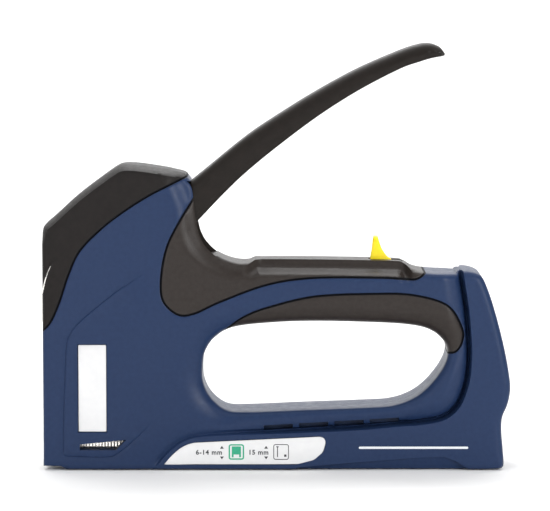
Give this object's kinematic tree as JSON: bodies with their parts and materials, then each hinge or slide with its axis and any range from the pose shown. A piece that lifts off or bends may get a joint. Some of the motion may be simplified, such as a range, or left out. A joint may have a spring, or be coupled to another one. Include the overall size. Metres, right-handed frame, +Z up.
{
  "type": "staple gun",
  "caption": "Hand staple gun with a blue cast body, dark soft grips, a squeeze handle that lifts a spring-driven plunger, a yellow handle lock and a pull-out staple magazine.",
  "frame": {"origin": "centre of the bounding box's underside: the base stands on z = 0", "axes": "+X from the nose to the tail, +Y to the screw side, +Z up"},
  "size_m": [0.1854, 0.029, 0.1672],
  "materials": {
    "body": "satin dark blue paint on cast aluminium",
    "cap": "fine-textured black plastic",
    "grip": "soft brownish black grip",
    "handle": "satin brownish black, lighter on top",
    "lock": "bright yellow plastic",
    "steel": "zinc-plated steel",
    "dark_steel": "blackened steel",
    "spring": "spring steel",
    "staples": "bright galvanised wire",
    "rubber": "black rubber",
    "label": "printed white label"
  },
  "bodies": {
    "frame": {"body_left": "body", "body_right": "body", "front_cap": "cap", "top_grip": "grip", "loop_grip": "grip", "nose_plate": "steel", "body_screw_1": "dark_steel", "body_screw_2": "dark_steel", "body_screw_3": "dark_steel", "body_screw_4": "dark_steel", "body_screw_5": "dark_steel", "size_label_left": "label", "size_label_right": "label", "badge_left": "label", "badge_right": "label", "handle_pivot_pin": "dark_steel", "rocker_pin": "dark_steel", "handle_return_spring": "spring", "main_spring": "spring", "spring_seat": "dark_steel", "impact_bumper": "rubber", "magazine_channel": "steel", "lock_detent_spring": "steel"},
    "handle": {"handle": "handle", "handle_lever": "steel", "handle_rivet_front": "dark_steel", "handle_rivet_rear": "dark_steel", "lock_plate": "steel"},
    "rocker": {"lift_rocker": "dark_steel", "roller_pin": "dark_steel"},
    "roller": {"rocker_roller": "steel"},
    "plunger": {"plunger": "steel", "striker_blade": "steel", "blade_rivet": "dark_steel"},
    "magazine": {"magazine_rail": "steel", "magazine_end": "cap", "magazine_detent": "spring", "staple_strip": "staples", "pusher_rod": "steel", "pusher_spring": "spring"},
    "pusher": {"pusher": "dark_steel"},
    "lock": {"handle_lock": "lock"}
  },
  "joints": [
    {"name": "handle_squeeze", "type": "hinge", "parent": "frame", "child": "handle", "pos_m": [-0.062, 0, 0.108], "axis": [0, 1, 0], "range_deg": [0, 35.1], "stiffness_Nm_per_rad": 0.6, "springref_deg": -28.65},
    {"name": "rocker_turn", "type": "hinge", "parent": "frame", "child": "rocker", "pos_m": [-0.062, 0, 0.08], "axis": [0, 1, 0], "range_deg": [0, 44]},
    {"name": "roller_spin", "type": "hinge", "parent": "rocker", "child": "roller", "pos_m": [-0.04902, 0, 0.08524], "axis": [0, 1, 0], "continuous": true},
    {"name": "plunger_lift", "type": "slide", "parent": "frame", "child": "plunger", "axis": [0, 0, 1], "range_m": [0, 0.015], "deforming": ["main_spring"]},
    {"name": "magazine_slide", "type": "slide", "parent": "frame", "child": "magazine", "axis": [1, 0, 0], "range_m": [0, 0.095]},
    {"name": "pusher_slide", "type": "slide", "parent": "magazine", "child": "pusher", "axis": [1, 0, 0], "range_m": [0, 0.06], "stiffness_N_per_m": 60, "springref_m": -0.1, "deforming": ["pusher_spring"]},
    {"name": "lock_slide", "type": "slide", "parent": "frame", "child": "lock", "axis": [1, 0, 0], "range_m": [0, 0.0035]}
  ],
  "couplings": [
    {"joint": "rocker_turn", "follows": "handle_squeeze", "ratio": 1.2535},
    {"joint": "plunger_lift", "follows": "handle_squeeze", "m_per_rad": 0.02446}
  ]
}
